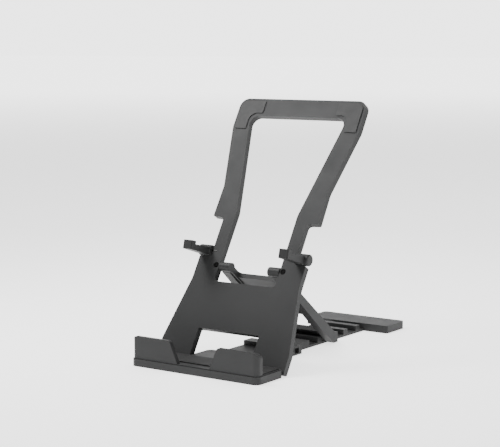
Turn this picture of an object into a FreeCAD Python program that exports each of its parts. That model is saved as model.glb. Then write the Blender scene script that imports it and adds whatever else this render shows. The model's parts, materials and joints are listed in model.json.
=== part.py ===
"""Folding phone stand: a leaning back plate, a notched base, a prop and two hook arms.

Millimetres. +X is to the right, +Y to the rear, +Z up. The origin is the middle of the
footprint, on the surface that the stand rests on.
"""
import FreeCAD, Part
import math
import os

Vec = FreeCAD.Vector

# ------------------------------------------------------------------ driving dimensions

# base
WIDTH = 82.0                # tray, across
BASE_LENGTH = 174.0         # front rail to rear edge
TRAY_TOP = 4.5              # top of the tray slab and of the rear plate
RAIL_TOP = 4.0              # the front rail is a step below the tray
TRAY_DEPTH = 22.2           # front rail to rear edge of the slab
TRAY_CORNER = 3.4
LIP_TOP = 16.2
LIP_SETBACK = 0.6           # the front rail stands this far proud of the lips
LIP_THICKNESS = 2.4
LIP_REACH = 5.4             # how far the lips run back round the corners
CABLE_GAP_BOTTOM = 20.6     # gap between the lips at the slab
CABLE_GAP_TOP = 31.0
LIP_CORNER = 2.2
LIP_END_CORNER = 3.4         # the lips drop away round the tray's corners
TONGUE_TOP = 4.3
TONGUE_HALF = 19.35         # it fills the back plate's window
TONGUE_END = -45.6
NECK_HALF = 17.0
NECK_TOP = 2.3
LADDER_HALF = 12.05
LADDER_TOP = 4.3
NOTCH_FLOOR = 1.4
RUNG = 4.5
RUNG_PITCH = 14.0
RUNG_COUNT = 4
FIRST_RUNG = 14.8           # front face of the first rung
STOP_BLOCK = (-9.1, 5.9)    # front and rear of the long block ahead of the first rung
CROSSPIECE = (-17.3, -9.1)
CROSSPIECE_HALF = 17.0
CROSSPIECE_TOP = 4.8
REAR_PLATE_HALF = 28.1
REAR_PLATE_DEPTH = 21.2

# back plate, in its own flat frame: u across, v up the slope, w out of the front face
LEAN = 31.0                 # degrees back from upright
PLATE_FRONT_Y = -65.7       # where the plane of the front face meets the surface
PLATE_T = 3.6
PLATE_TOP = 161.6
FOOT_HALF = 41.5
SKIRT_V = 12.5              # the sides are parallel up to here
WAIST_HALF = 34.9
WAIST_V = 49.0
SHOULDER_V = 62.4           # bottom of the arm recess
RECESS_HALF = 27.4
RECESS_TOP = 86.1           # at the leg
TIP_HALF = 34.7             # pointed end of the frame's side above the recess
TIP_V = 86.6
BEND_V = 105.4
HEAD_HALF = 42.0
HEAD_V = 143.0
HEAD_CORNER = 5.5
OPENING_HALF = 20.0
OPENING_BOTTOM = 48.3
OPENING_BEND = 90.4
OPENING_TOP = 150.6
OPENING_TOP_HALF = 32.3     # where the flared sides would meet the top edge
WINDOW_HALF = 19.75
WINDOW_TOP = 20.7

# corner pads of the upper frame
PAD_PROUD = 0.5
PAD_INLET = 0.6
PAD_INNER_U = 24.4
PAD_LOW_V = 142.1
PAD_MARGIN = 1.7

# hinges
FOLD_V = 3.6                # back plate to base, inside the rounded foot of the plate
TOE_V = 2.4                 # square rear edge of the foot, just clear of the surface
PIN_R = 1.0
RUNNING_CLEARANCE = 0.05
PROP_V = 57.7
PROP_W = -1.9
PROP_DROP = 37.5            # degrees below level, towards the rear
PLUG_U = 22.0               # the plug that closes the prop hinge, on the front face
PLUG_R = 1.65
PLUG_FLOOR = -0.85
ARM_V = 65.9
ARM_W = -0.7
ARM_PIN_R = 0.8
ARM_RISE = 14.5             # degrees above level, towards the front

# prop, in its own flat frame: x across, s down the prop from the hinge, q up from the axis
PROP_BARREL_R = 2.6
PROP_HALF = 19.2
PROP_BARREL_HALF = 19.65
LEG_INNER = 12.4
LEG_STEP = 14.2             # the deep rib of each leg starts here
PROP_UPPER = 1.4
PROP_LOWER = -1.4
LEG_WEB_LOWER = -1.9        # underside of the leg inside the rib
PROP_FILLET = 2.2
PANEL = (8.2, 45.4)
FOOT_BAR = (65.6, 72.0)
PROP_LENGTH = 73.0
HEEL_FRONT_Y = 24.0         # the foot stands in the notch ahead of the second rung
HEEL_REAR_Y = 28.4
HEEL_HALF = 17.0
HEEL_BOTTOM = 0.3
HEEL_TOP = 6.2
KEY_REAR_Y = 25.2           # clears the rung while the prop swings up
KEY_BOTTOM = 3.4

# hook arms: a along the arm from its hinge, e up from the axis
ARM_X = (28.3, 34.2)
ARM_BARREL = (27.75, 36.0)
ARM_BARREL_R = 3.2
ARM_LENGTH = 19.4
ARM_UNDER = -1.7
ARM_OVER = 1.35
HOOK_LENGTH = 3.7
HOOK_TOP = 3.2

os.makedirs("parts", exist_ok=True)

FRONT = -BASE_LENGTH / 2
REAR = BASE_LENGTH / 2


# ------------------------------------------------------------------ helpers

def box(x0, x1, y0, y1, z0, z1):
    return Part.makeBox(x1 - x0, y1 - y0, z1 - z0, Vec(x0, y0, z0))


def cylinder_x(x0, x1, y, z, r):
    """Cylinder along X from x0 to x1."""
    return Part.makeCylinder(r, abs(x1 - x0), Vec(min(x0, x1), y, z), Vec(1, 0, 0))


def rounded_outline(points, radii):
    """Closed wire in the XY plane through points, each corner rounded by its radius."""
    count = len(points)
    ends = []
    for i, point in enumerate(points):
        here = Vec(point[0], point[1], 0)
        before = Vec(points[i - 1][0], points[i - 1][1], 0)
        after = Vec(points[(i + 1) % count][0], points[(i + 1) % count][1], 0)
        if radii[i] == 0:
            ends.append((here, None, here))
            continue
        towards_before = (before - here).normalize()
        towards_after = (after - here).normalize()
        half = towards_before.getAngle(towards_after) / 2
        setback = radii[i] / math.tan(half)
        bisector = (towards_before + towards_after).normalize()
        middle = here + bisector * (radii[i] / math.sin(half) - radii[i])
        ends.append((here + towards_before * setback, middle, here + towards_after * setback))
    edges = []
    for i, (start, middle, end) in enumerate(ends):
        if middle is not None:
            edges.append(Part.Arc(start, middle, end).toShape())
        following = ends[(i + 1) % count][0]
        if end.distanceToPoint(following) > 1e-6:
            edges.append(Part.LineSegment(end, following).toShape())
    return Part.Wire(edges)


def slab(points, radii, z0, z1):
    """Rounded outline in XY, raised from z0 to z1."""
    face = Part.Face(rounded_outline(points, radii))
    solid = face.extrude(Vec(0, 0, z1 - z0))
    solid.translate(Vec(0, 0, z0))
    return solid


def profile_x(points, x0, x1):
    """Polygon in the YZ plane, extruded along X from x0 to x1."""
    corners = [Vec(x0, y, z) for y, z in points]
    face = Part.Face(Part.makePolygon(corners + corners[:1]))
    return face.extrude(Vec(x1 - x0, 0, 0))


def profile_y(points, radii, y0, y1):
    """Rounded outline given as (x, z), extruded along Y from y0 to y1."""
    solid = slab(points, radii, 0, y1 - y0)
    solid.rotate(Vec(0, 0, 0), Vec(1, 0, 0), 90)
    solid.translate(Vec(0, y1, 0))
    return solid


def both_sides(points):
    """The right half of an outline, listed bottom to top, with its mirror image."""
    return points + [(-u, v) for u, v in reversed(points)]


def mirrored(shape):
    return shape.mirror(Vec(0, 0, 0), Vec(1, 0, 0))


def fuse(*shapes):
    return shapes[0].multiFuse(list(shapes[1:])).removeSplitter()


def place(shape, turn, y, z):
    """Turns a shape about X through the origin, then moves it to y, z."""
    shape = shape.copy()
    shape.rotate(Vec(0, 0, 0), Vec(1, 0, 0), turn)
    shape.translate(Vec(0, y, z))
    return shape


def on_plate(shape):
    """From the back plate's flat frame (u, v, w) to the stand's frame."""
    return place(shape, 90 - LEAN, PLATE_FRONT_Y, 0)


def plate_point(v, w):
    """Y and Z of a point of the back plate's flat frame."""
    lean = math.radians(LEAN)
    return (PLATE_FRONT_Y + v * math.sin(lean) - w * math.cos(lean),
            v * math.cos(lean) + w * math.sin(lean))


FOLD_W = -PLATE_T / 2
FOLD_Y, FOLD_Z = plate_point(FOLD_V, FOLD_W)
PROP_Y, PROP_Z = plate_point(PROP_V, PROP_W)


def save(name, shape):
    if len(shape.Solids) == 1:
        shape = shape.Solids[0]
    assert shape.isValid(), name
    shape.exportStep("parts/" + name + ".step")
    bounds = shape.BoundBox
    print("%-24s %d solid %9.1f mm3  x %.2f %.2f  y %.2f %.2f  z %.2f %.2f" % (
        name, len(shape.Solids), shape.Volume, bounds.XMin, bounds.XMax,
        bounds.YMin, bounds.YMax, bounds.ZMin, bounds.ZMax))


# ------------------------------------------------------------------ base

TRAY_PAD = (WIDTH / 2 - 1.3, FRONT + LIP_REACH + 0.5, FRONT + TRAY_DEPTH - 0.9)
TRAY_PAD_RECESS = 0.5
TRAY_PAD_PROUD = 0.5
SEAM = 0.3


def tray_outline(inset, rear):
    half = WIDTH / 2 - inset
    front = FRONT + inset
    return [(-half, front), (half, front), (half, rear), (-half, rear)]


def lips():
    """Two upright lips that follow the tray's front edge and its corners."""
    rear = FRONT + LIP_REACH
    corner = TRAY_CORNER - LIP_SETBACK
    outer = slab(tray_outline(LIP_SETBACK, rear), [corner, corner, 0, 0], TRAY_TOP, LIP_TOP)
    inset = LIP_SETBACK + LIP_THICKNESS
    inner = slab(tray_outline(inset, rear + 1), [1.5, 1.5, 0, 0], TRAY_TOP, LIP_TOP)
    wall = outer.cut(inner)
    side = WIDTH / 2 - LIP_SETBACK
    lip_front = [(CABLE_GAP_BOTTOM / 2, TRAY_TOP), (side, TRAY_TOP), (side, LIP_TOP),
                 (CABLE_GAP_TOP / 2, LIP_TOP)]
    keep = profile_y(lip_front, [0, 0, LIP_END_CORNER, LIP_CORNER], FRONT, rear)
    lip_side = [(FRONT, TRAY_TOP), (rear, TRAY_TOP), (rear, LIP_TOP), (FRONT, LIP_TOP)]
    envelope = profile_x(lip_side, -side, side)
    top_rear = [edge for edge in envelope.Edges
                if all(v.Y > rear - 0.01 and v.Z > LIP_TOP - 0.01 for v in edge.Vertexes)]
    return wall.common(fuse(keep, mirrored(keep))).common(envelope.makeFillet(LIP_END_CORNER, top_rear))


def rectangle(half, y0, y1):
    return [(-half, y0), (half, y0), (half, y1), (-half, y1)]


def base_frame():
    slab_rear = FRONT + TRAY_DEPTH
    rear_front = REAR - REAR_PLATE_DEPTH
    rail = slab(tray_outline(0, slab_rear), [TRAY_CORNER, TRAY_CORNER, 1.0, 1.0], 0, RAIL_TOP)
    corner = TRAY_CORNER - LIP_SETBACK
    tray = slab(tray_outline(LIP_SETBACK, slab_rear), [corner, corner, 1.0, 1.0],
                RAIL_TOP - 1, TRAY_TOP)
    tongue = slab(rectangle(TONGUE_HALF, slab_rear - 3, TONGUE_END), [0, 0, 3.0, 3.0],
                  0, TONGUE_TOP)
    neck = box(-NECK_HALF, NECK_HALF, TONGUE_END - 2, CROSSPIECE[0] + 1, 0, NECK_TOP)
    cross = slab(rectangle(CROSSPIECE_HALF, *CROSSPIECE), [0.6] * 4, 0, CROSSPIECE_TOP)
    pocket = box(CROSSPIECE_HALF - 2.4, CROSSPIECE_HALF + 1,
                 CROSSPIECE[0] + 0.9, CROSSPIECE[0] + 4.9, 1.0, CROSSPIECE_TOP - 0.9)
    stop = box(-LADDER_HALF, LADDER_HALF, STOP_BLOCK[0] - 1, STOP_BLOCK[1], 0, LADDER_TOP)
    strip = box(-LADDER_HALF, LADDER_HALF, STOP_BLOCK[1] - 1, rear_front + 1, 0, NOTCH_FLOOR)
    rungs = []
    for i in range(RUNG_COUNT):
        y = FIRST_RUNG + i * RUNG_PITCH
        rungs.append(box(-LADDER_HALF, LADDER_HALF, y, y + RUNG, 0, LADDER_TOP))
    rear = slab(rectangle(REAR_PLATE_HALF, rear_front, REAR), [1.2, 1.2, 2.5, 2.5],
                0, TRAY_TOP)
    frame = fuse(rail, tray, lips(), tongue, neck, cross, stop, strip, rear, *rungs)

    pad_seat = slab(tray_pad_outline(SEAM), [1.2] * 4, TRAY_TOP - TRAY_PAD_RECESS, TRAY_TOP + 1)
    bore = cylinder_x(15.8, TONGUE_HALF + 1, FOLD_Y, FOLD_Z, PIN_R)
    frame = frame.cut(pad_seat)
    for cutter in (pocket, bore):
        frame = frame.cut(cutter).cut(mirrored(cutter))
    return frame


def tray_pad_outline(grow):
    half, front, rear = TRAY_PAD
    return [(-half - grow, front - grow), (half + grow, front - grow),
            (half + grow, rear + grow), (-half - grow, rear + grow)]


def tray_pad():
    return slab(tray_pad_outline(0), [1.0] * 4, TRAY_TOP - TRAY_PAD_RECESS,
                TRAY_TOP + TRAY_PAD_PROUD)


# ------------------------------------------------------------------ back plate

def arm_recess_edge():
    """Right side of the plate between the shoulder and the frame's pointed tip."""
    return [(WAIST_HALF, SHOULDER_V), (RECESS_HALF, SHOULDER_V), (RECESS_HALF, RECESS_TOP),
            (TIP_HALF, TIP_V)]


def flared_half(v):
    """Half width of the opening at height v, above the bend."""
    share = (v - OPENING_BEND) / (OPENING_TOP - OPENING_BEND)
    return OPENING_HALF + share * (OPENING_TOP_HALF - OPENING_HALF)


def back_plate():
    outline = [(FOOT_HALF, FOLD_V), (FOOT_HALF, SKIRT_V), (WAIST_HALF, WAIST_V)]
    outline += arm_recess_edge()
    outline += [(TIP_HALF - 0.3, BEND_V), (HEAD_HALF, HEAD_V), (HEAD_HALF, PLATE_TOP)]
    right_radii = [0, 12.0, 14.0, 0.8, 1.2, 2.2, 0.6, 10.0, 14.0, HEAD_CORNER]
    body = slab(both_sides(outline), right_radii + right_radii[::-1], -PLATE_T, 0)
    foot = cylinder_x(-FOOT_HALF, FOOT_HALF, FOLD_V, FOLD_W, PLATE_T / 2)
    toe = box(-FOOT_HALF, FOOT_HALF, TOE_V, FOLD_V, -PLATE_T, FOLD_W)
    body = fuse(body, foot, toe)

    opening = [(OPENING_HALF, OPENING_BOTTOM), (OPENING_HALF, OPENING_BEND),
               (OPENING_TOP_HALF, OPENING_TOP)]
    opening_radii = [2.0, 12.0, 5.0]
    body = body.cut(slab(both_sides(opening), opening_radii + opening_radii[::-1],
                         -PLATE_T - 1, 1))
    window = [(WINDOW_HALF, -2), (WINDOW_HALF, WINDOW_TOP)]
    body = body.cut(slab(both_sides(window), [0, 0.8, 0.8, 0], -PLATE_T - 1, 1))

    pad_seat = slab(corner_pad_outline(0), corner_pad_radii(), -PAD_INLET, 1)
    fold_bore = cylinder_x(WINDOW_HALF - 1, 26.4, FOLD_V, FOLD_W, PIN_R + RUNNING_CLEARANCE)
    prop_bore = cylinder_x(OPENING_HALF - 1, 24.2, PROP_V, PROP_W, PIN_R)
    plug_seat = Part.makeCylinder(PLUG_R, 2, Vec(PLUG_U, PROP_V, PLUG_FLOOR), Vec(0, 0, 1))
    arm_bore = cylinder_x(RECESS_HALF - 3.2, RECESS_HALF + 1, ARM_V, ARM_W, ARM_PIN_R)
    for cutter in (pad_seat, fold_bore, prop_bore, plug_seat, arm_bore):
        body = body.cut(cutter).cut(mirrored(cutter))
    return body


def hinge_plug():
    """Button over the end of the prop's pin, with a groove round its middle."""
    seat = Vec(PLUG_U, PROP_V, PLUG_FLOOR)
    disc = Part.makeCylinder(PLUG_R, 0.3, seat, Vec(0, 0, 1))
    button = Part.makeCylinder(PLUG_R - 0.5, -PLUG_FLOOR - 0.1, seat, Vec(0, 0, 1))
    return fuse(disc, button)


def corner_pad_outline(grow):
    """L-shaped pad: across the top bar from PAD_INNER_U, round the corner and down the side."""
    outer = HEAD_HALF - PAD_MARGIN + grow
    top = PLATE_TOP - PAD_MARGIN + grow
    low = PAD_LOW_V - grow
    gap = PAD_MARGIN - grow
    inner_top = OPENING_TOP + gap
    inner_side = flared_half(PAD_LOW_V) + gap + 0.4
    corner_side = flared_half(inner_top) + 0.2
    return [(PAD_INNER_U - grow, inner_top), (corner_side, inner_top), (inner_side, low),
            (outer, low), (outer, top), (PAD_INNER_U - grow, top)]


def corner_pad_radii():
    return [0.5, 5.0, 0.5, 0.5, HEAD_CORNER - PAD_MARGIN, 0.5]


def corner_pad():
    return slab(corner_pad_outline(0), corner_pad_radii(), -PAD_INLET, PAD_PROUD)


# ------------------------------------------------------------------ prop

def prop_frame():
    """The prop in its own flat frame, hinge axis on the X axis."""
    barrel = cylinder_x(LEG_INNER, PROP_BARREL_HALF, 0, 0, PROP_BARREL_R)
    rib = profile_x([(0.6, PROP_UPPER), (PROP_LENGTH, PROP_UPPER), (PROP_LENGTH, -3.8),
                     (55.0, -4.3), (26.0, -3.4), (2.0, -2.3)], LEG_STEP - 0.1, PROP_HALF)
    web = profile_x([(0.6, PROP_UPPER), (PROP_LENGTH, PROP_UPPER),
                     (PROP_LENGTH, LEG_WEB_LOWER), (2.0, LEG_WEB_LOWER)], LEG_INNER, LEG_STEP)
    reach = LEG_INNER + 0.6
    panel = box(-reach, reach, *PANEL, PROP_LOWER, PROP_UPPER)
    bar = box(-reach, reach, *FOOT_BAR, PROP_LOWER, PROP_UPPER)
    pieces = [barrel, rib, web, mirrored(barrel), mirrored(rib), mirrored(web), panel, bar]
    for s, along in ((PANEL[0], -1), (PANEL[1], 1), (FOOT_BAR[0], -1)):
        right_web = corner_web(s, along)
        pieces += [right_web, mirrored(right_web)]
    frame = fuse(*pieces)
    bore = cylinder_x(LEG_INNER + 0.9, PROP_BARREL_HALF + 1, 0, 0, PIN_R + RUNNING_CLEARANCE)
    return frame.cut(bore).cut(mirrored(bore))


def prop():
    """The prop in place, with the foot that stands in a notch of the base."""
    frame = place(prop_frame(), -PROP_DROP, PROP_Y, PROP_Z)
    key = box(-HEEL_HALF, HEEL_HALF, HEEL_FRONT_Y - 2, KEY_REAR_Y, KEY_BOTTOM, HEEL_TOP)
    heel = box(LEG_INNER, HEEL_HALF, HEEL_FRONT_Y, HEEL_REAR_Y, HEEL_BOTTOM, HEEL_TOP)
    return fuse(frame, key, heel, mirrored(heel))


def corner_web(s, along):
    """Concave fillet in the right corner between a leg and a cross member's edge at s."""
    x = LEG_INNER
    r = PROP_FILLET
    square = box(x - r, x, min(s, s + along * r), max(s, s + along * r), PROP_LOWER, PROP_UPPER)
    return square.cut(Part.makeCylinder(r, 10, Vec(x - r, s + along * r, -5)))


# ------------------------------------------------------------------ hook arms

def hook_arm():
    """Right arm in its own frame: it runs towards -Y from a hinge axis on the X axis."""
    barrel = cylinder_x(*ARM_BARREL, 0, 0, ARM_BARREL_R)
    rim = [edge for edge in barrel.Edges if edge.Closed]
    barrel = barrel.makeFillet(0.7, rim)
    beam = profile_x([(0, -2.6), (-ARM_LENGTH, ARM_UNDER), (-ARM_LENGTH, ARM_OVER),
                      (0, ARM_OVER + 0.5)], *ARM_X)
    hook = box(*ARM_X, -ARM_LENGTH, -ARM_LENGTH + HOOK_LENGTH, ARM_UNDER, HOOK_TOP)
    arm = fuse(beam, hook)
    tip_edges = [edge for edge in arm.Edges if is_tip_corner(edge)]
    arm = fuse(arm.makeFillet(0.6, tip_edges), barrel)
    bore = cylinder_x(ARM_BARREL[0] - 1, ARM_BARREL[1] - 1.2, 0, 0,
                      ARM_PIN_R + RUNNING_CLEARANCE)
    return arm.cut(bore)


def is_tip_corner(edge):
    """The upright edges at the free end of the arm."""
    bounds = edge.BoundBox
    return bounds.ZLength > 1.0 and bounds.XLength < 0.01 and bounds.YMax < -ARM_LENGTH + 0.01


# ------------------------------------------------------------------ pins

def pin(x0, x1, y, z, r):
    rod = cylinder_x(x0, x1, y, z, r)
    return rod.makeChamfer(0.2, [edge for edge in rod.Edges if edge.Closed])


# ------------------------------------------------------------------ write the parts

save("base_frame", base_frame())
save("tray_pad", tray_pad())
save("back_plate", on_plate(back_plate()))
save("prop_frame", prop())

arm_y, arm_z = plate_point(ARM_V, ARM_W)
sided_parts = {
    "corner_pad": on_plate(corner_pad()),
    "hinge_plug": on_plate(hinge_plug()),
    "hook_arm": place(hook_arm(), -ARM_RISE, arm_y, arm_z),
    "fold_pin": pin(15.8, 26.2, FOLD_Y, FOLD_Z, PIN_R),
    "prop_pin": pin(13.5, 24.2, PROP_Y, PROP_Z, PIN_R),
    "arm_pin": pin(RECESS_HALF - 3.2, 33.8, arm_y, arm_z, ARM_PIN_R),
}
for name, right_part in sided_parts.items():
    save(name + "_right", right_part)
    save(name + "_left", mirrored(right_part))

print("fold hinge  y %.3f  z %.3f" % (FOLD_Y, FOLD_Z))
print("prop hinge  y %.3f  z %.3f" % (PROP_Y, PROP_Z))
print("arm hinges  y %.3f  z %.3f" % (arm_y, arm_z))
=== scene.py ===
"""Looks of the folding phone stand: finishes, softened edges, studio light and camera."""
import json
import math
import bpy
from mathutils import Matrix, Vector

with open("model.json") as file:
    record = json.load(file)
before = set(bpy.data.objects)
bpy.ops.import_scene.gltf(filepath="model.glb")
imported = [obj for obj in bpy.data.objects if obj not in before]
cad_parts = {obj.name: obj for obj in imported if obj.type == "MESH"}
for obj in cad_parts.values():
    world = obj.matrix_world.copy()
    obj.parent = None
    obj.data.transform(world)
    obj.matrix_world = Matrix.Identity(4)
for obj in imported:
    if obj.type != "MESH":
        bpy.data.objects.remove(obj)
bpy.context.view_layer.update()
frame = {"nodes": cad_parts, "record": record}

NODES = frame["nodes"]

MM = 0.001

# ------------------------------------------------------------------ view, metres and radians

VIEW_FROM = Vector((0.4423, -0.6667, 0.1681))
VIEW_AZIMUTH = math.radians(35.0)
VIEW_ELEVATION = math.radians(6.98)
SENSOR_MM = 36.0
LENS_MM = 103.9

# ------------------------------------------------------------------ room and lights, metres and watts

WALL, ROOM = 3.4, 0.8               # brightness of the horizon behind the stand and around it
CEILING, DIM_CEILING = 0.9, 0.3     # brightness overhead, behind the stand and in front of it
WALL_SPREAD = (0.1, 0.95)           # how directly a direction faces away from the view
CEILING_SPREAD = (0.0, 0.9)
WALL_HEIGHT = (0.1, 0.3)            # the horizon gives way to the ceiling between these slopes

FLOOR_SIZE = 40.0
NEAR_GLOW, MID_GLOW = 1.8, 1.4      # a translucent table, softly lit from below
NEAR_RADII = (0.1, 0.6)
FAR_RADII = (0.7, 5.0)              # over this stretch the glow turns into the horizon's brightness
FLOOR_SHEEN = 0.35                  # what the far floor returns of the room's own light

SOFT_BOXES = {
    "ceiling": dict(place=(0.0, 0.25, 1.0), aim=(0.0, 0.05, 0.0), side=1.4, power=12.0),
    "key": dict(place=(-0.2, -0.15, 0.38), aim=(0.0, -0.01, 0.1), side=0.16, power=1.6),
}

# ------------------------------------------------------------------ moulded edges

SHARP_EDGE = math.radians(28)
EDGE_SEGMENTS = 3
EDGE_SOFTNESS_MM = {"hook_arm": 0.35, "base_frame": 0.42, "back_plate": 0.35, "prop_frame": 0.3,
                    "corner_pad": 0.18, "tray_pad": 0.2, "hinge_plug": 0.12, "pin": 0.1}


# ------------------------------------------------------------------ shader helpers

class Finish:
    """A node material built from object coordinates, in metres."""

    def __init__(self, name):
        self.material = bpy.data.materials.new(name)
        self.material.use_nodes = True
        self.tree = self.material.node_tree
        self.shader = self.tree.nodes["Principled BSDF"]
        self.coordinates = self.tree.nodes.new("ShaderNodeTexCoord").outputs["Object"]

    def link(self, source, target):
        self.tree.links.new(source, target)

    def stretched(self, x, y, z):
        """Object coordinates scaled along each axis."""
        mapping = self.tree.nodes.new("ShaderNodeMapping")
        mapping.inputs["Scale"].default_value = (x, y, z)
        self.link(self.coordinates, mapping.inputs["Vector"])
        return mapping.outputs["Vector"]

    def noise(self, size_mm, detail=3.0, roughness=0.5, vector=None):
        """Noise whose features are about size_mm across."""
        node = self.tree.nodes.new("ShaderNodeTexNoise")
        node.inputs["Scale"].default_value = 1.0 / (size_mm * MM)
        node.inputs["Detail"].default_value = detail
        node.inputs["Roughness"].default_value = roughness
        self.link(vector or self.coordinates, node.inputs["Vector"])
        return node.outputs["Fac"]

    def spread(self, value, low, high, from_low=0.3, from_high=0.7):
        """Value mapped from its own range to low..high."""
        node = self.tree.nodes.new("ShaderNodeMapRange")
        node.inputs["From Min"].default_value = from_low
        node.inputs["From Max"].default_value = from_high
        node.inputs["To Min"].default_value = low
        node.inputs["To Max"].default_value = high
        self.link(value, node.inputs["Value"])
        return node.outputs["Result"]

    def colour(self, value, dark, light):
        ramp = self.tree.nodes.new("ShaderNodeValToRGB")
        ramp.color_ramp.elements[0].position = 0.3
        ramp.color_ramp.elements[0].color = (*dark, 1.0)
        ramp.color_ramp.elements[1].position = 0.7
        ramp.color_ramp.elements[1].color = (*light, 1.0)
        self.link(value, ramp.inputs["Fac"])
        self.link(ramp.outputs["Color"], self.shader.inputs["Base Color"])

    def bump(self, value, depth_mm, strength=1.0, under=None):
        node = self.tree.nodes.new("ShaderNodeBump")
        node.inputs["Strength"].default_value = strength
        node.inputs["Distance"].default_value = depth_mm * MM
        self.link(value, node.inputs["Height"])
        if under is not None:
            self.link(under, node.inputs["Normal"])
        return node.outputs["Normal"]


def ramp(tree, value, spread, low, high):
    """Low to high, smoothly, while the value runs over the spread."""
    node = tree.nodes.new("ShaderNodeMapRange")
    node.interpolation_type = "SMOOTHSTEP"
    for name, number in (("From Min", spread[0]), ("From Max", spread[1]),
                         ("To Min", low), ("To Max", high)):
        node.inputs[name].default_value = number
    tree.links.new(value, node.inputs["Value"])
    return node.outputs["Result"]


def mix(tree, factor, first, second):
    """First where the factor is 0, second where it is 1."""
    node = tree.nodes.new("ShaderNodeMix")
    tree.links.new(factor, node.inputs["Factor"])
    tree.links.new(first, node.inputs["A"])
    tree.links.new(second, node.inputs["B"])
    return node.outputs["Result"]


def vector_maths(tree, operation, vector):
    node = tree.nodes.new("ShaderNodeVectorMath")
    node.operation = operation
    tree.links.new(vector, node.inputs[0])
    return node


def away_from_view(tree, direction):
    """How nearly a direction runs the way the main view looks, from -1 to 1."""
    node = vector_maths(tree, "DOT_PRODUCT", direction)
    node.inputs[1].default_value = (-math.sin(VIEW_AZIMUTH), math.cos(VIEW_AZIMUTH), 0.0)
    return node.outputs["Value"]


def grey(value, warm=0.0):
    """A near-neutral linear grey."""
    return (value * (1.0 + warm), value, value * (1.0 - warm))


def moulded_plastic(name, value, rough, shine=0.17, grain_mm=0.35):
    """Satin moulding: spark-eroded grain, faint flow marks, slightly uneven sheen."""
    flow_mm, patch_mm = 38.0, 12.0
    uneven_sheen = 0.035
    cool = -0.01
    finish = Finish(name)
    flow = finish.noise(flow_mm, detail=2.0)
    grain = finish.noise(grain_mm, detail=4.0, roughness=0.65)
    finish.colour(flow, grey(value * 0.93, cool), grey(value * 1.07, cool))
    finish.link(finish.spread(finish.noise(patch_mm), rough - uneven_sheen, rough + uneven_sheen),
                finish.shader.inputs["Roughness"])
    waves = finish.bump(flow, depth_mm=0.05, strength=0.15)
    finish.link(finish.bump(grain, depth_mm=0.022, strength=0.55, under=waves),
                finish.shader.inputs["Normal"])
    finish.shader.inputs["Specular IOR Level"].default_value = shine
    return finish.material


def soft_rubber(name, value, rough=0.68, shine=0.3):
    """Matt pad: dusty, with a pebbled skin."""
    pebble_mm, dust_mm = 0.6, 6.0
    finish = Finish(name)
    pebbles = finish.noise(pebble_mm, detail=5.0, roughness=0.6)
    finish.colour(finish.noise(dust_mm, detail=4.0), grey(value * 0.85), grey(value * 1.15))
    finish.link(finish.spread(pebbles, rough, rough + 0.1), finish.shader.inputs["Roughness"])
    finish.link(finish.bump(pebbles, depth_mm=0.025, strength=0.5), finish.shader.inputs["Normal"])
    finish.shader.inputs["Specular IOR Level"].default_value = shine
    return finish.material


def blackened_steel(name):
    """Wire pin: fine lines along its length."""
    line_mm, warm = 0.12, 0.01
    finish = Finish(name)
    lines = finish.noise(line_mm, detail=3.0, vector=finish.stretched(0.04, 1.0, 1.0))
    finish.colour(lines, grey(0.03, warm), grey(0.06, warm))
    finish.link(finish.spread(lines, 0.26, 0.42), finish.shader.inputs["Roughness"])
    finish.link(finish.bump(lines, depth_mm=0.006, strength=0.5), finish.shader.inputs["Normal"])
    finish.shader.inputs["Metallic"].default_value = 1.0
    return finish.material


FINISHES = {
    "abs_dark": moulded_plastic("abs_dark", 0.027, 0.5),
    "rubber_black": soft_rubber("rubber_black", 0.02, shine=0.22),
    "corner_soft": soft_rubber("corner_soft", 0.032, rough=0.48, shine=0.2),
    # Painted shade: the hinge plug is coloured near black to stand in for the shadow inside its hole.
    "plug_dark": moulded_plastic("plug_dark", 0.003, 0.6, shine=0.06, grain_mm=0.2),
    "pin_dark": blackened_steel("pin_dark"),
}


# ------------------------------------------------------------------ the object

def soften_edges(node, width_mm):
    """A small rounded arris along every sharp edge."""
    bevel = node.modifiers.new("moulded edges", "BEVEL")
    bevel.width = width_mm * MM
    bevel.segments = EDGE_SEGMENTS
    bevel.limit_method = "ANGLE"
    bevel.angle_limit = SHARP_EDGE
    bevel.harden_normals = True


def softness(name):
    return next(width for part, width in EDGE_SOFTNESS_MM.items() if part in name)


slots = {part["node"]: part["material_slot"] for part in frame["record"]["subparts"]}
for name, node in NODES.items():
    node.data.materials.clear()
    node.data.materials.append(FINISHES[slots[name]])
    soften_edges(node, softness(name))


# ------------------------------------------------------------------ floor

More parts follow.
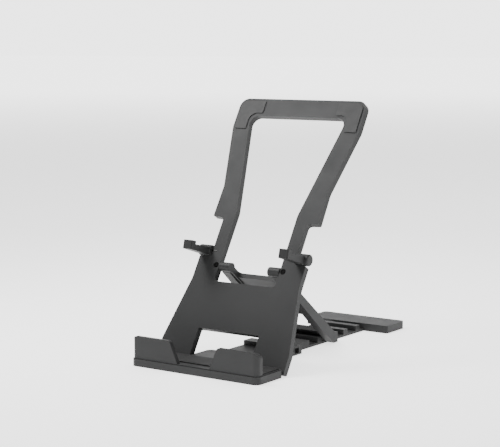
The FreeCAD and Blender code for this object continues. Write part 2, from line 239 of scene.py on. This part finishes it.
def pale_floor():
    """Pale table that runs into the room's horizon without an edge."""
    mottle_mm = 90.0
    finish = Finish("floor")
    mottle = finish.noise(mottle_mm, detail=2.0)
    finish.colour(mottle, grey(0.8), grey(0.82))
    finish.shader.inputs["Roughness"].default_value = 0.9
    finish.shader.inputs["Emission Color"].default_value = (1.0, 1.0, 1.0, 1.0)
    tree = finish.tree
    radius = vector_maths(tree, "LENGTH", finish.coordinates).outputs["Value"]
    bearing = vector_maths(tree, "NORMALIZE", finish.coordinates).outputs["Vector"]
    near = ramp(tree, radius, NEAR_RADII, NEAR_GLOW, MID_GLOW)
    far = ramp(tree, away_from_view(tree, bearing), WALL_SPREAD, ROOM - FLOOR_SHEEN, WALL - FLOOR_SHEEN)
    distance = ramp(tree, radius, FAR_RADII, 0.0, 1.0)
    finish.link(mix(tree, distance, near, far), finish.shader.inputs["Emission Strength"])
    bpy.ops.mesh.primitive_plane_add(size=FLOOR_SIZE, location=(0, 0, 0))
    floor = bpy.context.object
    floor.name = "floor"
    floor.data.materials.append(finish.material)


pale_floor()


# ------------------------------------------------------------------ light

def soft_box(name, place, aim, side, power):
    light = bpy.data.lights.new(name, "AREA")
    light.shape = "RECTANGLE"
    light.size = light.size_y = side
    light.energy = power
    lamp = bpy.data.objects.new(name, light)
    bpy.context.collection.objects.link(lamp)
    lamp.location = place
    lamp.rotation_euler = (Vector(aim) - Vector(place)).to_track_quat("-Z", "Y").to_euler()


def studio_room():
    """A bright wall behind the stand, a dim room in front of it, and a dimmer ceiling."""
    world = bpy.data.worlds.new("studio_room")
    world.use_nodes = True
    tree = world.node_tree
    background = tree.nodes["Background"]
    direction = tree.nodes.new("ShaderNodeTexCoord").outputs["Generated"]
    axes = tree.nodes.new("ShaderNodeSeparateXYZ")
    tree.links.new(direction, axes.inputs["Vector"])
    facing = away_from_view(tree, direction)
    height = ramp(tree, axes.outputs["Z"], WALL_HEIGHT, 0.0, 1.0)
    horizon = ramp(tree, facing, WALL_SPREAD, ROOM, WALL)
    ceiling = ramp(tree, facing, CEILING_SPREAD, DIM_CEILING, CEILING)
    tree.links.new(mix(tree, height, horizon, ceiling), background.inputs["Strength"])
    background.inputs["Color"].default_value = (1.0, 1.0, 1.0, 1.0)
    bpy.context.scene.world = world


studio_room()
for box_name, box in SOFT_BOXES.items():
    soft_box(box_name, **box)


# ------------------------------------------------------------------ camera

def camera():
    data = bpy.data.cameras.new("camera")
    data.sensor_width = SENSOR_MM
    data.lens = LENS_MM
    view = bpy.data.objects.new("camera", data)
    bpy.context.collection.objects.link(view)
    view.location = VIEW_FROM
    view.rotation_euler = (math.pi / 2 - VIEW_ELEVATION, 0.0, VIEW_AZIMUTH)
    bpy.context.scene.camera = view


camera()
